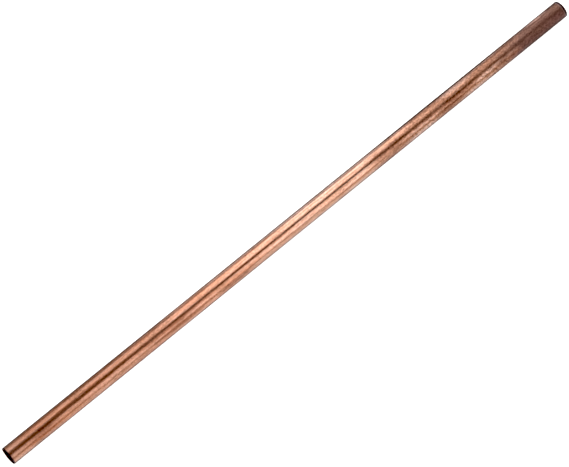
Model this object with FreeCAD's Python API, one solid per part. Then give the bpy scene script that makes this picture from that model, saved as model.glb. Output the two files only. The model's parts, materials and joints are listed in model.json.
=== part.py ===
"""A straight length of hard-drawn copper water pipe, 1/2 inch nominal size, lying on a level floor.

The pipe is one drawn tube. Both ends are cut square by a cutter wheel, which rolls the outer edge
inwards to a rounded shoulder, and both mouths are deburred on the inside.

Frame: +X along the pipe, +Z up, origin on the floor under the middle of the pipe. Millimetres.
"""

import FreeCAD
import Part
import math
import os

# Stock size: nominal 1/2 inch tube is 5/8 inch outside, with the type M wall, cut to 2 feet.
pipe_length = 609.6
outside_diameter = 15.875
wall_thickness = 0.711

# Cut ends: the cutter's shoulder, a flat land and the deburred mouth divide the wall between them.
shoulder_length = 0.9
shoulder_share_of_wall = 0.45
deburr_share_of_wall = 0.2

half_length = pipe_length / 2
outer_radius = outside_diameter / 2
bore_radius = outer_radius - wall_thickness
axis_height = outer_radius
shoulder_depth = shoulder_share_of_wall * wall_thickness
deburr_depth = deburr_share_of_wall * wall_thickness

PIPE_AXIS = FreeCAD.Vector(1, 0, 0)


def wall_point(station, radius):
    """A point of the upper wall's section: station along the pipe, radius from the pipe's axis."""
    return FreeCAD.Vector(station, 0, axis_height + radius)


def shoulder_edge(end):
    """The rolled outer edge at one end (-1 or +1): an arc tangent to the pipe's outside."""
    roll_radius = (shoulder_length**2 + shoulder_depth**2) / (2 * shoulder_depth)
    half_turn = math.asin(shoulder_length / roll_radius) / 2
    shoulder_start = half_length - shoulder_length
    along = roll_radius * math.sin(half_turn)
    drop = roll_radius * (1 - math.cos(half_turn))
    arc = Part.Arc(
        wall_point(end * shoulder_start, outer_radius),
        wall_point(end * (shoulder_start + along), outer_radius - drop),
        wall_point(end * half_length, outer_radius - shoulder_depth),
    )
    return arc.toShape()


def land_edge(end):
    """The flat cut face at one end, between the shoulder and the deburred mouth."""
    return Part.makeLine(
        wall_point(end * half_length, outer_radius - shoulder_depth),
        wall_point(end * half_length, bore_radius + deburr_depth),
    )


def deburr_edge(end):
    """The 45 degree bevel inside the mouth at one end."""
    return Part.makeLine(
        wall_point(end * half_length, bore_radius + deburr_depth),
        wall_point(end * (half_length - deburr_depth), bore_radius),
    )


def wall_section():
    """The closed outline of the upper wall, cut along the pipe's axis."""
    outside_reach = half_length - shoulder_length
    bore_reach = half_length - deburr_depth
    edges = [
        Part.makeLine(wall_point(-outside_reach, outer_radius), wall_point(outside_reach, outer_radius)),
        Part.makeLine(wall_point(-bore_reach, bore_radius), wall_point(bore_reach, bore_radius)),
    ]
    for end in (-1, 1):
        edges += [shoulder_edge(end), land_edge(end), deburr_edge(end)]
    return Part.Wire(Part.__sortEdges__(edges))


def copper_pipe():
    """The wall section turned once round the pipe's axis."""
    section = Part.Face(wall_section())
    return section.revolve(FreeCAD.Vector(0, 0, axis_height), PIPE_AXIS, 360)


def main():
    os.makedirs("parts", exist_ok=True)
    pipe = copper_pipe()
    pipe.exportStep("parts/copper_pipe.step")
    plain_tube = math.pi * (outer_radius**2 - bore_radius**2) * pipe_length
    print(f"copper_pipe: valid {pipe.isValid()}, solids {len(pipe.Solids)}, faces {len(pipe.Faces)}")
    print(f"copper_pipe: volume {pipe.Volume:.1f} mm3, a tube with plain ends {plain_tube:.1f} mm3")


main()
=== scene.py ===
"""The looks of a straight length of hard-drawn copper water pipe: its mesh, finishes, light and camera.

Frame: +X along the pipe towards its tarnished end, +Z up, origin on the floor under the pipe's middle.
Metres; lengths that come from the workshop are given in millimetres and turned by mm().
"""

import json
import math

import bpy
from mathutils import Matrix, Vector, noise


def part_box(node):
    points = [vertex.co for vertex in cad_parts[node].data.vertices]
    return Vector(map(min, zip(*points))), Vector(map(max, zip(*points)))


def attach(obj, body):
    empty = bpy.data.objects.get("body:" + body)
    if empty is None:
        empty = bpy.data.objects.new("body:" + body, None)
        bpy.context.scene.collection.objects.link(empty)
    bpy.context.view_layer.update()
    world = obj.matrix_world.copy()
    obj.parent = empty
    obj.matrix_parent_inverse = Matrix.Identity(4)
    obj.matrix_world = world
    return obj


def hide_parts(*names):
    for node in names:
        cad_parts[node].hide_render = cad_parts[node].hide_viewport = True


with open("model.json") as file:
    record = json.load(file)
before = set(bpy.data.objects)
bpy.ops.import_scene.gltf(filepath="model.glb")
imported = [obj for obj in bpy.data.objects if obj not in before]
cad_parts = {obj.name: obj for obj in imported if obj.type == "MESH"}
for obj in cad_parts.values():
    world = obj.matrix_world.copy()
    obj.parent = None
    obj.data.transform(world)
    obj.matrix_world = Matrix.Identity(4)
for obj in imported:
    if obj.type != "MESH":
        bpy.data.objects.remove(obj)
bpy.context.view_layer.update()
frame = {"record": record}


def mm(length):
    """Millimetres in metres."""
    return length / 1000


# Sizes of the tube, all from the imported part: its box and its two round mounts
mounts = {mount["name"]: mount for mount in frame["record"]["mounts"]}
half_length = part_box("copper_pipe")[1].x
outer_radius = mm(mounts["outside"]["dims"]["r_mm"])
bore_radius = mm(mounts["bore"]["dims"]["r_mm"])
outside_reach = mm(mounts["outside"]["dims"]["length_mm"]) / 2
bore_reach = mm(mounts["bore"]["dims"]["length_mm"]) / 2
axis_height = outer_radius

# The cutter's rolled shoulder takes a share of the wall; the deburred mouth is a 45 degree bevel.
shoulder_share_of_wall = 0.45
shoulder_depth = shoulder_share_of_wall * (outer_radius - bore_radius)
shoulder_length = half_length - outside_reach
shoulder_roll = (shoulder_length**2 + shoulder_depth**2) / (2 * shoulder_depth)
shoulder_turn = math.asin(shoulder_length / shoulder_roll)
deburr_depth = half_length - bore_reach

# Mesh density
segments = 160
outside_steps = 400
shoulder_steps = 8
bore_steps = 60
crease_angle = math.radians(30)

# Surfaces of the tube, each by the place of its material
OUTSIDE, CUT, MOUTH, BORE = range(4)

# Drawing relief: lengthwise die lines. Real ones are about 0.05 mm wide, too fine to show, so they are
# drawn 1 mm wide, with the slope of the real ones.
line_width = mm(1.0)
line_length = mm(90)
line_depth = mm(0.006)
# The straightening rolls leave the wall faintly uneven over a few centimetres.
uneven_length = mm(24)
uneven_depth = mm(0.01)

# Tarnish, by its station along the pipe: the metal gets cleaner from clean_start to clean_full, a brown film
# runs from film_start to the +X end, and the dull end from end_start.
clean_start = mm(-128)
clean_full = mm(40)
film_start = mm(92)
end_start = mm(239)
# On the pipe's +Y side the film starts later by film_lag, which sets in between two places across the pipe.
film_lag = mm(42)
lag_start = mm(-1)
lag_full = mm(2.5)
# Clouds shift a tarnish's edge by up to ragged_edge.
# The tarnish sets in over these lengths before and after the middle of its edge.
ragged_edge = mm(40)
fade_before = mm(18)
fade_after = mm(22)

# Shades of the metal, from its die lines to the metal between them, where it was handled and rubbed clean
handled_shades = ("#E49A7B", "#FBC9B5")
rubbed_shades = ("#F1B297", "#FBD8CB")
# The thin oxide takes light from the metal, from its thickest streaks to none.
oxide_shades = ("#BCAE90", "#FFFFFF")
# The brown film, from its thick streaks to its thin ones, and the marks of handling
film_shades = ("#B58167", "#E5B29A")
smudge_shade = "#986957"
# The rubs' pale shade, which also paints highlight marks
rub_and_highlight_shade = "#FFD2BE"
# Shades of the dull end, each from the pipe's -Y side to its +Y side, which is drawn lighter: painted light
purple_shades = ("#8D6E6B", "#A58377")
yellow_shades = ("#8A6E60", "#9F7F6C")
end_smudge_shade = "#7A5C52"
# The pale shade of the end's rub, which also paints a highlight
end_rub_and_highlight_shade = "#F6C9B8"

# Share of its strength with which the thin oxide shows
oxide_share = 0.7
# How much of the oxide's grain shows on the bright metal, in the film and at the dull end
bright_grain = 0.42
film_grain = 0.75
end_grain = 0.55
# Roughness of the handled and the rubbed metal, of the film and of the dull end
handled_roughness = 0.275
rubbed_roughness = 0.25
film_roughness = 0.33
end_roughness = 0.5

# Handling marks: station, place across, height, half length and half width in millimetres, and strength
smudges = [
    (-271, -4.2, 14.7, 22, 2.4, 0.4),
    (-269, -7.4, 10.7, 22, 1.8, 0.35),
    (-196, 1.4, 15.8, 34, 2.2, 0.2),
    (-172, -7.5, 10.7, 26, 1.8, 0.25),
    (-131, -6.3, 12.8, 40, 1.8, 0.5),
    (-126, -3.9, 14.9, 34, 1.8, 0.5),
    (-70, -7.0, 11.4, 26, 1.0, 0.55),
    (56, 0.4, 15.9, 60, 1.8, 0.15),
    (101, -1.6, 15.6, 28, 3.6, 0.5),
    (95, -4.6, 14.4, 24, 2.2, 0.35),
    (96, -7.7, 9.9, 17, 1.6, 0.55),
    (142, -3.5, 15.0, 24, 1.4, 0.4),
    (165, 6.9, 11.7, 80, 2.6, 1.0),
    (167, -7.5, 10.5, 14, 1.6, 0.35),
    (173, -6.3, 12.8, 24, 1.2, 0.6),
    (177, -3.6, 15.0, 23, 2.0, 0.8),
    (212, 0.3, 15.9, 24, 1.8, 0.35),
    (227, 3.3, 15.1, 22, 1.3, 0.45),
    (242, -7.0, 11.6, 13, 1.6, 0.5),
]
rubs_and_highlights = [
    (-205, -5.6, 13.5, 65, 2.8, 0.32),
    (-200, 2.9, 15.3, 52, 1.3, 0.35),
    (137, -7.6, 10.3, 24, 1.6, 0.8),
    # Painted highlight: this rub and the one at 212 mm lie on the near softbox's brightest line and lighten
    # it.
    (139, -5.0, 14.0, 30, 1.2, 0.6),
    (182, 3.2, 15.2, 26, 3.2, 0.75),
    (200, -7.6, 10.3, 22, 1.6, 0.6),
    (212, -5.0, 14.0, 20, 1.4, 1.0),
    (218, 4.6, 14.4, 26, 1.2, 0.45),
    (222, -3.8, 14.9, 16, 1.2, 0.7),
    (241, -4.0, 14.8, 13, 1.6, 0.45),
]
end_smudges = [
    (251, 5.6, 13.6, 14, 1.5, 0.7),
    (272, 3.3, 15.1, 20, 1.3, 0.5),
    (280, -7.9, 8.6, 34, 1.3, 0.8),
    (286, -0.4, 15.9, 26, 2.4, 0.3),
    (297, 5.6, 13.6, 10, 2.0, 1.0),
]
end_rubs_and_highlight = [
    (268, -3.6, 15.0, 30, 1.6, 0.1),
    # Painted highlight: this pale mark on the dull end's +Y side stands for a highlight along its edge.
    (277, 4.7, 14.3, 17, 1.3, 0.9),
]
# A mark reaches mark_depth up and down and fades over the outer mark_fade of its radius. Its edge wavers by
# up to half of mark_waver each way, over about waver_size.
mark_depth = mm(6)
mark_fade = 0.7
mark_waver = (mm(8), mm(2), mm(2))
waver_size = mm(4)

# Bands round the two tips: the stations where each starts and where it is full, and its shade
clean_tip_bands = [(mm(30) - half_length, mm(1) - half_length, "#E2B09A")]
# Round the dull tip: a pale band, a painted highlight, then a dark band, a painted dark reflection
dull_tip_painted_bands = [
    (half_length - mm(3.2), half_length - mm(2.6), "#9E8682"),
    (half_length - mm(2.2), half_length - mm(1.6), "#544648"),
]

# The camera that sees the pipe as the photograph does
camera_sensor = 36.0
camera_lens = 175.66
camera_azimuth = math.radians(-41.693)
camera_elevation = math.radians(65.333)
camera_distance = 2.2826
camera_aim = Vector((-0.01178, -0.00057, axis_height))

# The photograph's contrast: this much light counts as black.
film_black = 0.04

# The floor and the cards reach this far from the pipe; the cards lie a hair above the floor.
board_reach = 6.0
whole_length = (-board_reach, board_reach)
floor_drop = mm(0.05)
card_drop = mm(0.02)

# Edges of the cards across the floor, from the near side to the far side
near_room_edge = mm(-40)
near_edge = mm(-11.5)
back_edge = mm(9)
back_line_edge = mm(19)
far_edge = mm(34)
far_room_edge = mm(300)
# Edges of the cards along the pipe: the far side's three, and the one past each tip
far_start_edge = mm(-130)
far_film_edge = mm(118)
far_end_edge = mm(270)
tip_edge = half_length + mm(12)

# Softboxes: lean from overhead towards +Y and slant along the pipe towards +X in degrees, distance, length
# along the pipe and width across it in metres, brightness, and tint
white_light = "#FFFFFF"
cool_light = "#D2E8FF"
softboxes = {
    "far_softbox": (31.5, 23, 1.0, 1.05, 1.34, 1.04, white_light),
    "far_core": (32.5, 18, 0.99, 0.44, 1.2, 1.2, white_light),
    "far_start_softbox": (45, -11, 1.01, 0.48, 1.08, 0.68, white_light),
    "far_low_softbox": (85, 24, 1.0, 0.85, 0.24, 1.4, cool_light),
    "near_softbox": (-53, 14, 1.0, 1.06, 1.0, 1.04, white_light),
    "near_core": (-50.5, 18, 0.99, 0.42, 0.85, 0.74, white_light),
    "far_side_softbox": (35, -38, 1.0, 0.75, 1.5, 0.8, white_light),
    "near_side_softbox": (-50, -38, 1.0, 0.75, 0.94, 0.8, white_light),
    "far_end_softbox": (42, 57, 1.0, 0.6, 1.4, 0.65, white_light),
}

# Places of a Mix node's sockets, which share their names: its factor, then its colours and its numbers
MIX_FACTOR = 0
MIX_FIRST = 6
MIX_SECOND = 7
MIX_RESULT = 2
MIX_FIRST_NUMBER = 2
MIX_SECOND_NUMBER = 3
MIX_RESULT_NUMBER = 0

# Blender's noise mostly lies between these two values.
noise_low = 0.25
noise_high = 0.75
# A Wave texture at scale 1 repeats over this length.
wave_period = math.tau / 20


def linear(hex_code):
    """An sRGB hex value as a linear colour."""
    channels = [int(hex_code[place:place + 2], 16) / 255 for place in (1, 3, 5)]
    return [c / 12.92 if c <= 0.04045 else ((c + 0.055) / 1.055) ** 2.4 for c in channels] + [1.0]


def add_node(tree, kind, settings=None, inputs=None):
    """Adds a node to a tree, sets its properties, and sets or links its inputs."""
    made = tree.nodes.new(kind)
    for name, value in (settings or {}).items():
        setattr(made, name, value)
    for name, value in (inputs or {}).items():
        if isinstance(value, bpy.types.NodeSocket):
            tree.links.new(value, made.inputs[name])
        else:
            made.inputs[name].default_value = value
    return made


def new_material(name):
    """An empty node material, its tree, and the places on the object that its patterns follow."""
    material = bpy.data.materials.new(name)
    material.use_nodes = True
    tree = material.node_tree
    tree.nodes.clear()
    place = add_node(tree, "ShaderNodeTexCoord").outputs["Object"]
    return material, tree, place


def bare_metal(tree, colour, roughness, relief, relief_depth, relief_strength):
    """Ends a material as bare metal with this colour and roughness, and with a pattern's relief."""
    bump = add_node(
        tree, "ShaderNodeBump",
        inputs={"Height": relief, "Distance": relief_depth, "Strength": relief_strength},
    ).outputs["Normal"]
    shader = add_node(
        tree, "ShaderNodeBsdfPrincipled",
        inputs={"Base Color": colour, "Metallic": 1.0, "Roughness": roughness, "Normal": bump},
    )
    add_node(tree, "ShaderNodeOutputMaterial", inputs={"Surface": shader.outputs["BSDF"]})


def lengthwise_pattern(tree, place, width, stretch, detail):
    """A pattern of marks this wide, drawn out along the pipe by this many times."""
    drawn_out = add_node(tree, "ShaderNodeMapping", inputs={"Vector": place, "Scale": (1 / stretch, 1, 1)})
    soft = add_node(
        tree, "ShaderNodeTexNoise",
        inputs={
            "Vector": drawn_out.outputs["Vector"], "Scale": 1 / width,
            "Detail": detail, "Roughness": 0.6,
        },
    ).outputs["Fac"]
    return add_node(
        tree, "ShaderNodeMapRange", inputs={"Value": soft, "From Min": noise_low, "From Max": noise_high}
    ).outputs["Result"]


def tarnish_from(tree, place, clouds, start, side_shift):
    """The share of a tarnish that covers the pipe from a station on, with a ragged cloudy edge. On the
    pipe's +Y side its edge lies further along by side_shift."""
    axes = add_node(tree, "ShaderNodeSeparateXYZ", inputs={"Vector": place})
    shift = add_node(
        tree, "ShaderNodeMapRange", {"interpolation_type": "SMOOTHSTEP"},
        {"Value": axes.outputs["Y"], "From Min": lag_start, "From Max": lag_full, "To Max": side_shift},
    ).outputs["Result"]
    level = add_node(
        tree, "ShaderNodeMath", {"operation": "SUBTRACT"}, {0: axes.outputs["X"], 1: shift}
    ).outputs["Value"]
    ragged = add_node(
        tree, "ShaderNodeMath", {"operation": "MULTIPLY_ADD"}, {0: clouds, 1: ragged_edge, 2: level}
    ).outputs["Value"]
    middle = start + ragged_edge / 2
    return add_node(
        tree, "ShaderNodeMapRange", {"interpolation_type": "SMOOTHSTEP"},
        {"Value": ragged, "From Min": middle - fade_before, "From Max": middle + fade_after},
    ).outputs["Result"]


def film_cover(tree, place, clouds):
    """The share of the brown film: half in the thickest clouds, and whole from film_start on."""
    cloud_share = add_node(
        tree, "ShaderNodeMapRange", {"interpolation_type": "SMOOTHSTEP"},
        {"Value": clouds, "From Min": 0.45, "From Max": 0.9, "To Max": 0.5},
    ).outputs["Result"]
    return add_node(
        tree, "ShaderNodeMath", {"operation": "MAXIMUM"},
        {0: cloud_share, 1: tarnish_from(tree, place, clouds, film_start, side_shift=film_lag)},
    ).outputs["Value"]


def rubbed_share(tree, place):
    """How clean the metal was rubbed: not at all at the pipe's -X end, and wholly from its middle on."""
    station = add_node(tree, "ShaderNodeSeparateXYZ", inputs={"Vector": place}).outputs["X"]
    return add_node(
        tree, "ShaderNodeMapRange", {"interpolation_type": "SMOOTHSTEP"},
        {"Value": station, "From Min": clean_start, "From Max": clean_full},
    ).outputs["Result"]


def wavering_places(tree, place):
    """Places shifted to and fro a little, so that what follows them has an uneven edge."""
    waver = add_node(
        tree, "ShaderNodeTexNoise", inputs={"Vector": place, "Scale": 1 / waver_size, "Detail": 3.0}
    ).outputs["Color"]
    centred = add_node(
        tree, "ShaderNodeVectorMath", {"operation": "SUBTRACT"}, {0: waver, 1: (0.5, 0.5, 0.5)}
    ).outputs["Vector"]
    return add_node(
        tree, "ShaderNodeVectorMath", {"operation": "MULTIPLY_ADD"}, {0: centred, 1: mark_waver, 2: place}
    ).outputs["Vector"]


def marks_share(tree, place, marks):
    """The share of a few oval marks: full in each one's middle, none at its wavering edge."""
    wavering = wavering_places(tree, place)
    share = 0.0
    for station, across, height, length, width, strength in marks:
        inside = add_node(
            tree, "ShaderNodeMapping", {"vector_type": "TEXTURE"},
            {
                "Vector": wavering, "Location": (mm(station), mm(across), mm(height)),
                "Scale": (mm(length), mm(width), mark_depth),
            },
        ).outputs["Vector"]
        fading = add_node(
            tree, "ShaderNodeTexGradient", {"gradient_type": "SPHERICAL"}, {"Vector": inside}
        ).outputs["Fac"]
        mark = add_node(
            tree, "ShaderNodeMapRange", {"interpolation_type": "SMOOTHSTEP"},
            {"Value": fading, "From Max": mark_fade, "To Max": strength},
        ).outputs["Result"]
        share = add_node(
            tree, "ShaderNodeMath", {"operation": "MAXIMUM"}, {0: mark, 1: share}
        ).outputs["Value"]
    return share


def marked(tree, place, colour, marks, shade):
    """A colour with a few oval marks of another shade on it."""
    return add_node(
        tree, "ShaderNodeMix", {"data_type": "RGBA"},
        {MIX_FACTOR: marks_share(tree, place, marks), MIX_FIRST: colour, MIX_SECOND: linear(shade)},
    ).outputs[MIX_RESULT]


def banded(tree, place, colour, bands):
    """A colour with bands of other shades laid round the pipe."""
    station = add_node(tree, "ShaderNodeSeparateXYZ", inputs={"Vector": place}).outputs["X"]
    for start, full, shade in bands:
        share = add_node(
            tree, "ShaderNodeMapRange", {"interpolation_type": "SMOOTHSTEP"},
            {"Value": station, "From Min": start, "From Max": full},
        ).outputs["Result"]
        colour = add_node(
            tree, "ShaderNodeMix", {"data_type": "RGBA"},
            {MIX_FACTOR: share, MIX_FIRST: colour, MIX_SECOND: linear(shade)},
        ).outputs[MIX_RESULT]
    return colour


def bright_copper(tree, place, streaks, clean):
    """The colour of the bare metal: die lines and streaks of thin oxide, paler where it was rubbed clean."""
    # Die lines, drawn 0.8 mm wide so that they show
    lines = lengthwise_pattern(tree, place, width=mm(0.8), stretch=60, detail=2.0)
    line_shade, between_shade = handled_shades
    handled = add_node(
        tree, "ShaderNodeMix", {"data_type": "RGBA"},
        {MIX_FACTOR: lines, MIX_FIRST: linear(line_shade), MIX_SECOND: linear(between_shade)},
    ).outputs[MIX_RESULT]
    line_shade, between_shade = rubbed_shades
    rubbed = add_node(
        tree, "ShaderNodeMix", {"data_type": "RGBA"},
        {MIX_FACTOR: lines, MIX_FIRST: linear(line_shade), MIX_SECOND: linear(between_shade)},
    ).outputs[MIX_RESULT]
    metal = add_node(
        tree, "ShaderNodeMix", {"data_type": "RGBA"},
        {MIX_FACTOR: clean, MIX_FIRST: handled, MIX_SECOND: rubbed},
    ).outputs[MIX_RESULT]
    thick_shade, thin_shade = oxide_shades
    oxide = add_node(
        tree, "ShaderNodeMix", {"data_type": "RGBA"},
        {MIX_FACTOR: streaks, MIX_FIRST: linear(thick_shade), MIX_SECOND: linear(thin_shade)},
    ).outputs[MIX_RESULT]
    return add_node(
        tree, "ShaderNodeMix", {"data_type": "RGBA", "blend_type": "MULTIPLY"},
        {MIX_FACTOR: oxide_share, MIX_FIRST: metal, MIX_SECOND: oxide},
    ).outputs[MIX_RESULT]


def handled_copper(tree, place, streaks, clean, film_share):
    """The colour of the outside short of its dull end: bright metal, the brown film over it, darker smudges,
    places rubbed clean with a painted highlight along the near softbox's bright line, and a paler tip."""
    bright = bright_copper(tree, place, streaks, clean)
    thick_shade, thin_shade = film_shades
    film = add_node(
        tree, "ShaderNodeMix", {"data_type": "RGBA"},
        {MIX_FACTOR: streaks, MIX_FIRST: linear(thick_shade), MIX_SECOND: linear(thin_shade)},
    ).outputs[MIX_RESULT]
    filmed = add_node(
        tree, "ShaderNodeMix", {"data_type": "RGBA"},
        {MIX_FACTOR: film_share, MIX_FIRST: bright, MIX_SECOND: film},
    ).outputs[MIX_RESULT]
    smudged = marked(tree, place, filmed, smudges, smudge_shade)
    rubbed = marked(tree, place, smudged, rubs_and_highlights, rub_and_highlight_shade)
    return banded(tree, place, rubbed, clean_tip_bands)


def dull_end(tree, place, clouds):
    """The colour of the tarnished end: a purple brown with yellower clouds, drawn lighter on the pipe's +Y
    side as painted light, with smudges, a rubbed place and a painted highlight on the +Y side. Round the tip
    runs a pale line, a painted highlight, and then a dark band up to the rim, a painted dark reflection."""
    across = add_node(tree, "ShaderNodeSeparateXYZ", inputs={"Vector": place}).outputs["Y"]
    # Painted light: the dull end is drawn lighter towards the pipe's +Y side.
    side = add_node(
        tree, "ShaderNodeMapRange", inputs={"Value": across, "From Min": mm(-8), "From Max": mm(5)}
    ).outputs["Result"]
    near_shade, far_shade = purple_shades
    purple = add_node(
        tree, "ShaderNodeMix", {"data_type": "RGBA"},
        {MIX_FACTOR: side, MIX_FIRST: linear(near_shade), MIX_SECOND: linear(far_shade)},
    ).outputs[MIX_RESULT]
    near_shade, far_shade = yellow_shades
    yellow = add_node(
        tree, "ShaderNodeMix", {"data_type": "RGBA"},
        {MIX_FACTOR: side, MIX_FIRST: linear(near_shade), MIX_SECOND: linear(far_shade)},
    ).outputs[MIX_RESULT]
    cloud_share = add_node(
        tree, "ShaderNodeMapRange", inputs={"Value": clouds, "From Min": 0.4, "To Max": 0.6}
    ).outputs["Result"]
    clouded = add_node(
        tree, "ShaderNodeMix", {"data_type": "RGBA"},
        {MIX_FACTOR: cloud_share, MIX_FIRST: purple, MIX_SECOND: yellow},
    ).outputs[MIX_RESULT]
    smudged = marked(tree, place, clouded, end_smudges, end_smudge_shade)
    rubbed = marked(tree, place, smudged, end_rubs_and_highlight, end_rub_and_highlight_shade)
    return banded(tree, place, rubbed, dull_tip_painted_bands)


def mottled(tree, colour, grain, film_share, end_share):
    """A colour broken up by the grain of the oxide, most of all in the film."""
    handled_grain = add_node(
        tree, "ShaderNodeMapRange",
        inputs={"Value": film_share, "To Min": bright_grain, "To Max": film_grain},
    ).outputs["Result"]
    grain_share = add_node(
        tree, "ShaderNodeMix", {"data_type": "FLOAT"},
        {MIX_FACTOR: end_share, MIX_FIRST_NUMBER: handled_grain, MIX_SECOND_NUMBER: end_grain},
    ).outputs[MIX_RESULT_NUMBER]
    return add_node(
        tree, "ShaderNodeMix", {"data_type": "RGBA", "blend_type": "MULTIPLY"},
        {MIX_FACTOR: grain_share, MIX_FIRST: colour, MIX_SECOND: grain},
    ).outputs[MIX_RESULT]


def drawn_roughness(tree, clean, film_share, end_share):
    """How rough the outside is: least where it was rubbed clean, more in the film, most at the dull end."""
    metal = add_node(
        tree, "ShaderNodeMapRange",
        inputs={"Value": clean, "To Min": handled_roughness, "To Max": rubbed_roughness},
    ).outputs["Result"]
    filmed = add_node(
        tree, "ShaderNodeMix", {"data_type": "FLOAT"},
        {MIX_FACTOR: film_share, MIX_FIRST_NUMBER: metal, MIX_SECOND_NUMBER: film_roughness},
    ).outputs[MIX_RESULT_NUMBER]
    return add_node(
        tree, "ShaderNodeMix", {"data_type": "FLOAT"},
        {MIX_FACTOR: end_share, MIX_FIRST_NUMBER: filmed, MIX_SECOND_NUMBER: end_roughness},
    ).outputs[MIX_RESULT_NUMBER]


def drawn_copper():
    """Hard-drawn copper, pulled through a die: a bright pinkish metal with lengthwise die lines, clouds and
    smudges of light brown tarnish where it was handled, and one end gone a dull purple brown."""
    material, tree, place = new_material("drawn_copper")
    # Tarnish clouds about 9 mm across and three times as long
    clouds = lengthwise_pattern(tree, place, width=mm(9), stretch=3, detail=5.0)
    # Streaks of thin oxide, about 1.6 mm wide
    streaks = lengthwise_pattern(tree, place, width=mm(1.6), stretch=12, detail=4.0)
    # Mottled grain of the oxide, about 1.3 mm
    grain = lengthwise_pattern(tree, place, width=mm(1.3), stretch=1.5, detail=2.0)
    clean = rubbed_share(tree, place)
    film_share = film_cover(tree, place, clouds)
    end_share = tarnish_from(tree, place, clouds, end_start, side_shift=0.0)
    handled = handled_copper(tree, place, streaks, clean, film_share)
    whole = add_node(
        tree, "ShaderNodeMix", {"data_type": "RGBA"},
        {MIX_FACTOR: end_share, MIX_FIRST: handled, MIX_SECOND: dull_end(tree, place, clouds)},
    ).outputs[MIX_RESULT]
    colour = mottled(tree, whole, grain, film_share, end_share)
    roughness = drawn_roughness(tree, clean, film_share, end_share)
    # The grain stands 0.02 mm proud at full strength. Oxide is soft at its edges, so little of that shows.
    bare_metal(tree, colour, roughness, relief=grain, relief_depth=mm(0.02), relief_strength=0.12)
    return material


def wheel_cut_copper():
    """Copper rolled over and parted by a cutter wheel: a rim drawn dark, as painted dark reflection, with
    fine rings round it.
    """
    material, tree, place = new_material("wheel_cut_copper")
    # Rings of the cutter wheel. Real ones are about 0.15 mm apart, too fine to show, so they are drawn
    # 0.45 mm apart.
    rings = add_node(
        tree, "ShaderNodeTexWave", {"bands_direction": "X"},
        {"Vector": place, "Scale": wave_period / mm(0.45), "Distortion": 1.5, "Detail": 1.0},
    ).outputs["Fac"]
    # Painted dark reflection: fresh-cut copper is bright, and the rim is drawn dark.
    colour = add_node(
        tree, "ShaderNodeMix", {"data_type": "RGBA"},
        {MIX_FACTOR: rings, MIX_FIRST: linear("#4E4244"), MIX_SECOND: linear("#6E6063")},
    ).outputs[MIX_RESULT]
    bare_metal(tree, colour, roughness=0.38, relief=rings, relief_depth=mm(0.01), relief_strength=0.5)
    return material


def reamed_copper():
    """Copper scraped bare by a reamer at the mouth: bright, with fine scratches."""
    material, tree, place = new_material("reamed_copper")
    # Scratches of the reamer's blade. Real ones are about 0.1 mm wide, too fine to show, so they are drawn
    # 0.8 mm wide.
    scratches = add_node(
        tree, "ShaderNodeTexNoise", inputs={"Vector": place, "Scale": 1 / mm(0.8), "Detail": 2.0}
    ).outputs["Fac"]
    colour = add_node(
        tree, "ShaderNodeMix", {"data_type": "RGBA"},
        {MIX_FACTOR: scratches, MIX_FIRST: linear("#C08A70"), MIX_SECOND: linear("#F0BFA6")},
    ).outputs[MIX_RESULT]
    bare_metal(tree, colour, roughness=0.3, relief=scratches, relief_depth=mm(0.01), relief_strength=0.3)
    return material


def oxidised_bore_copper():
    """The bore as drawn and never polished: copper under a dark brown oxide, streaked lengthwise."""
    material, tree, place = new_material("oxidised_bore_copper")
    # Streaks of the oxide, about 1.2 mm wide
    streaks = lengthwise_pattern(tree, place, width=mm(1.2), stretch=40, detail=4.0)
    colour = add_node(
        tree, "ShaderNodeMix", {"data_type": "RGBA"},
        {MIX_FACTOR: streaks, MIX_FIRST: linear("#4E3026"), MIX_SECOND: linear("#8C5C48")},
    ).outputs[MIX_RESULT]
    bare_metal(tree, colour, roughness=0.5, relief=streaks, relief_depth=mm(0.03), relief_strength=0.6)
    return material


def backlit_board(name, first_shade, second_shade, glow):
    """Matte translucent sheet lit from behind, as on a light table: an even ground with a barely seen tooth
    and hardly any shadow."""
    material, tree, place = new_material(name)
    # Tooth of the board, about 2 mm
    tooth = add_node(
        tree, "ShaderNodeTexNoise", inputs={"Vector": place, "Scale": 1 / mm(2), "Detail": 3.0}
    ).outputs["Fac"]
    colour = add_node(
        tree, "ShaderNodeMix", {"data_type": "RGBA"},
        {MIX_FACTOR: tooth, MIX_FIRST: linear(first_shade), MIX_SECOND: linear(second_shade)},
    ).outputs[MIX_RESULT]
    shader = add_node(
        tree, "ShaderNodeBsdfPrincipled",
        inputs={
            "Base Color": colour, "Roughness": 0.9, "Specular IOR Level": 0.0,
            "Emission Color": linear(second_shade), "Emission Strength": glow,
        },
    )
    add_node(tree, "ShaderNodeOutputMaterial", inputs={"Surface": shader.outputs["BSDF"]})
    return material


def evenly(first, last, steps):
    """Numbers from first to last in equal steps, without the last."""
    return [first + (last - first) * step / steps for step in range(steps)]


def shoulder_points(end, angles):
    """Station and radius at these angles round the rolled shoulder's arc at one end."""
    return [
        (
            end * (outside_reach + shoulder_roll * math.sin(angle)),
            outer_radius - shoulder_roll * (1 - math.cos(angle)),
        )
        for angle in angles
    ]


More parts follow.
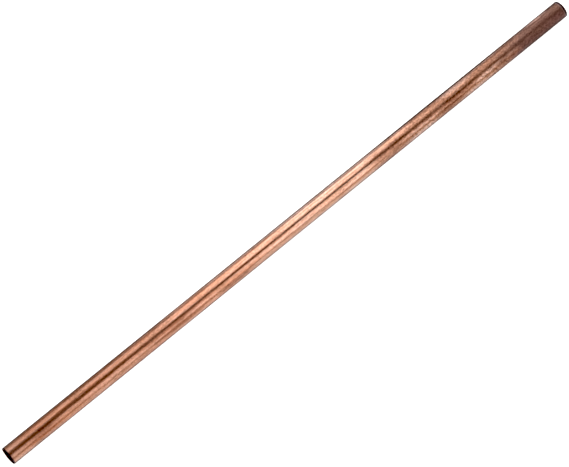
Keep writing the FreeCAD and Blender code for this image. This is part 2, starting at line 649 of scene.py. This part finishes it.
def wall_section():
    """The wall's closed outline as rings (station, radius, surface that starts there): along the outside
    to the tarnished end, over its cut, back along the bore and over the other cut."""
    land_radius = outer_radius - shoulder_depth
    mouth_radius = bore_radius + deburr_depth
    rings = [(x, outer_radius, OUTSIDE) for x in evenly(-outside_reach, outside_reach, outside_steps)]
    rings += [(x, r, CUT) for x, r in shoulder_points(1, evenly(0, shoulder_turn, shoulder_steps))]
    rings += [(half_length, land_radius, MOUTH), (half_length, mouth_radius, MOUTH)]
    rings += [(x, bore_radius, BORE) for x in evenly(bore_reach, -bore_reach, bore_steps)]
    rings += [(-bore_reach, bore_radius, MOUTH)]
    rings += [(-half_length, mouth_radius, MOUTH), (-half_length, land_radius, CUT)]
    # The first point of the shoulder is the land's edge, which is already there.
    back = shoulder_points(-1, evenly(shoulder_turn, 0, shoulder_steps))
    rings += [(x, r, CUT) for x, r in back[1:]]
    return rings


def drawing_relief(station, across, up):
    """How deep the drawn outside lies under its full radius at a point of the surface."""
    lines = noise.noise(Vector((station / line_length, across / line_width, up / line_width)))
    uneven = noise.noise(Vector((station, across, up)) / uneven_length)
    return line_depth * (1 + lines) / 2 + uneven_depth * (1 + uneven) / 2


def tube_points(rings):
    """The mesh's points, ring by ring; the outside carries the drawing relief."""
    points = []
    for station, radius, surface in rings:
        for turn in evenly(0, math.tau, segments):
            across = math.sin(turn)
            up = math.cos(turn)
            depth = 0.0
            if surface == OUTSIDE:
                depth = drawing_relief(station, across * radius, up * radius)
            reach = radius - depth
            points.append((station, reach * across, axis_height + reach * up))
    return points


def tube_faces(ring_count):
    """Quads between neighbouring rings, closed both ways round and facing out of the metal."""
    faces = []
    for ring in range(ring_count):
        start = ring * segments
        after = (ring + 1) % ring_count * segments
        for step in range(segments):
            beside = (step + 1) % segments
            faces.append((start + step, after + step, after + beside, start + beside))
    return faces


def drawn_tube(materials):
    """The whole pipe as one closed mesh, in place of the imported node."""
    rings = wall_section()
    mesh = bpy.data.meshes.new("drawn_tube")
    mesh.from_pydata(tube_points(rings), [], tube_faces(len(rings)))
    for material in materials:
        mesh.materials.append(material)
    surfaces = [surface for _, _, surface in rings for _ in range(segments)]
    mesh.polygons.foreach_set("material_index", surfaces)
    mesh.shade_smooth()
    mesh.set_sharp_from_angle(angle=crease_angle)
    mesh.validate()
    tube = bpy.data.objects.new("drawn_tube", mesh)
    bpy.context.scene.collection.objects.link(tube)
    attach(tube, "root")
    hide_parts("copper_pipe")


def sheet_of_board(name, stations, distances, drop, material):
    """A flat sheet under the pipe, between two stations along it and two distances across the floor."""
    first, last = stations
    near, far = distances
    corners = [(first, near, 0), (last, near, 0), (last, far, 0), (first, far, 0)]
    mesh = bpy.data.meshes.new(name)
    mesh.from_pydata(corners, [], [(0, 1, 2, 3)])
    mesh.materials.append(material)
    sheet = bpy.data.objects.new(name, mesh)
    sheet.location.z = -drop
    bpy.context.scene.collection.objects.link(sheet)
    return sheet


def floor():
    """A plain pale floor just under the pipe. The copper mirrors the edge cards in its place."""
    white = backlit_board("white_board", "#F3F3F2", "#F8F8F7", glow=1.0)
    ground = sheet_of_board("floor", whole_length, whole_length, floor_drop, white)
    ground.visible_glossy = False


def edge_card(name, stations, distances, material):
    """A card on the floor that only the copper's reflections show, to draw the pipe's edges."""
    card = sheet_of_board(name, stations, distances, card_drop, material)
    card.visible_camera = False
    card.visible_diffuse = False
    card.visible_shadow = False


def edge_cards():
    """Cards on the floor: a dark one under the pipe, with a light strip and then a dark line behind it, and
    pale ones past its tips. The dark one under the pipe and the dark line behind it are painted shadow: they
    stand for the pipe's shadow on the floor as the copper mirrors it. The near side is pale, and cream
    further off. The far side is grey, with a dark stretch beside the film, and light grey further off."""
    pale = backlit_board("pale_card", "#E6F1F8", "#EAF5FC", glow=0.54)
    cream = backlit_board("cream_card", "#EDEAE2", "#F1EEE6", glow=0.54)
    light_grey = backlit_board("light_grey_card", "#B2C2CA", "#B8C8D0", glow=0.36)
    grey = backlit_board("grey_card", "#8C989F", "#929EA5", glow=0.08)
    dark = backlit_board("dark_card", "#4E4D4C", "#565554", glow=0.3)
    between_tips = (-tip_edge, tip_edge)
    # Painted shadow: the dark card under the pipe stands for its shadow on the floor.
    edge_card("under_shadow_card", between_tips, (near_edge, back_edge), dark)
    edge_card("back_card", between_tips, (back_edge, back_line_edge), light_grey)
    # Painted shadow: the rest of the pipe's shadow on the floor, beyond the light strip
    edge_card("back_shadow_line_card", between_tips, (back_line_edge, far_edge), dark)
    edge_card("clean_tip_card", (-board_reach, -tip_edge), (near_edge, far_edge), pale)
    edge_card("dull_tip_card", (tip_edge, board_reach), (near_edge, far_edge), pale)
    edge_card("near_card", whole_length, (near_room_edge, near_edge), pale)
    edge_card("near_room_card", whole_length, (-board_reach, near_room_edge), cream)
    far_side = (far_edge, far_room_edge)
    edge_card("far_start_card", (-board_reach, far_start_edge), far_side, grey)
    edge_card("far_middle_card", (far_start_edge, far_film_edge), far_side, light_grey)
    edge_card("far_film_card", (far_film_edge, far_end_edge), far_side, dark)
    edge_card("far_end_card", (far_end_edge, board_reach), far_side, light_grey)
    edge_card("far_room_card", whole_length, (far_room_edge, board_reach), light_grey)


def softbox(name, lean_degrees, slant_degrees, distance, length, width, brightness, tint):
    """An oval softbox that faces the pipe's middle and that the camera itself doesn't see."""
    lamp = bpy.data.lights.new(name, "AREA")
    lamp.shape = "ELLIPSE"
    lamp.color = linear(tint)[:3]
    lamp.size = length
    lamp.size_y = width
    # An area light's brightness is its power over pi times its area, and an oval's area is pi/4 of its box.
    lamp.energy = brightness * math.pi * (math.pi / 4 * length * width)
    light = bpy.data.objects.new(name, lamp)
    light.visible_camera = False
    bpy.context.scene.collection.objects.link(light)
    lean = math.radians(lean_degrees)
    slant = math.radians(slant_degrees)
    way = Vector(
        (math.sin(slant), math.cos(slant) * math.sin(lean), math.cos(slant) * math.cos(lean))
    )
    across = way.cross(Vector((1, 0, 0))).normalized()
    along = across.cross(way)
    light.location = Vector((0, 0, axis_height)) + way * distance
    light.rotation_euler = Matrix((along, across, way)).transposed().to_euler()


def dim_room():
    """The room round the set: darker overhead than at the walls."""
    world = bpy.data.worlds.new("dim_room")
    world.use_nodes = True
    tree = world.node_tree
    tree.nodes.clear()
    way = add_node(tree, "ShaderNodeTexCoord").outputs["Generated"]
    height = add_node(tree, "ShaderNodeSeparateXYZ", inputs={"Vector": way}).outputs["Z"]
    share = add_node(
        tree, "ShaderNodeMapRange", inputs={"Value": height, "From Min": 0.0, "From Max": 0.6}
    ).outputs["Result"]
    wall_shade = linear("#A8907C")
    overhead_shade = linear("#584539")
    colour = add_node(
        tree, "ShaderNodeMix", {"data_type": "RGBA"},
        {MIX_FACTOR: share, MIX_FIRST: wall_shade, MIX_SECOND: overhead_shade},
    ).outputs[MIX_RESULT]
    background = add_node(tree, "ShaderNodeBackground", inputs={"Color": colour})
    add_node(tree, "ShaderNodeOutputWorld", inputs={"Surface": background.outputs["Background"]})
    bpy.context.scene.world = world


def studio():
    """Floor, cards, room and softboxes. A softbox on the far side and one on the near side give the copper
    its two bright bands; each is brightest in its middle, so it has a core lamp a little in front. The
    others light the pipe's ends and its far edge, and its sides as other views show them."""
    floor()
    edge_cards()
    dim_room()
    for name, settings in softboxes.items():
        softbox(name, *settings)


def photo_camera():
    """The camera at the photograph's viewing angle."""
    lens = bpy.data.cameras.new("photo_camera")
    lens.sensor_width = camera_sensor
    lens.lens = camera_lens
    camera = bpy.data.objects.new("photo_camera", lens)
    level = math.cos(camera_elevation)
    back = Vector(
        (
            math.sin(camera_azimuth) * level,
            -math.cos(camera_azimuth) * level,
            math.sin(camera_elevation),
        )
    )
    camera.location = camera_aim + back * camera_distance
    camera.rotation_euler = back.to_track_quat("Z", "Y").to_euler()
    bpy.context.scene.collection.objects.link(camera)
    bpy.context.scene.camera = camera


def plain_exposure():
    """Plain sRGB colours with the photograph's contrast, so that the white floor comes out white."""
    view = bpy.context.scene.view_settings
    view.view_transform = "Standard"
    view.look = "None"
    view.use_curve_mapping = True
    view.curve_mapping.black_level = (film_black, film_black, film_black)
    view.curve_mapping.update()


photo_camera()
plain_exposure()
studio()
drawn_tube([drawn_copper(), wheel_cut_copper(), reamed_copper(), oxidised_bore_copper()])
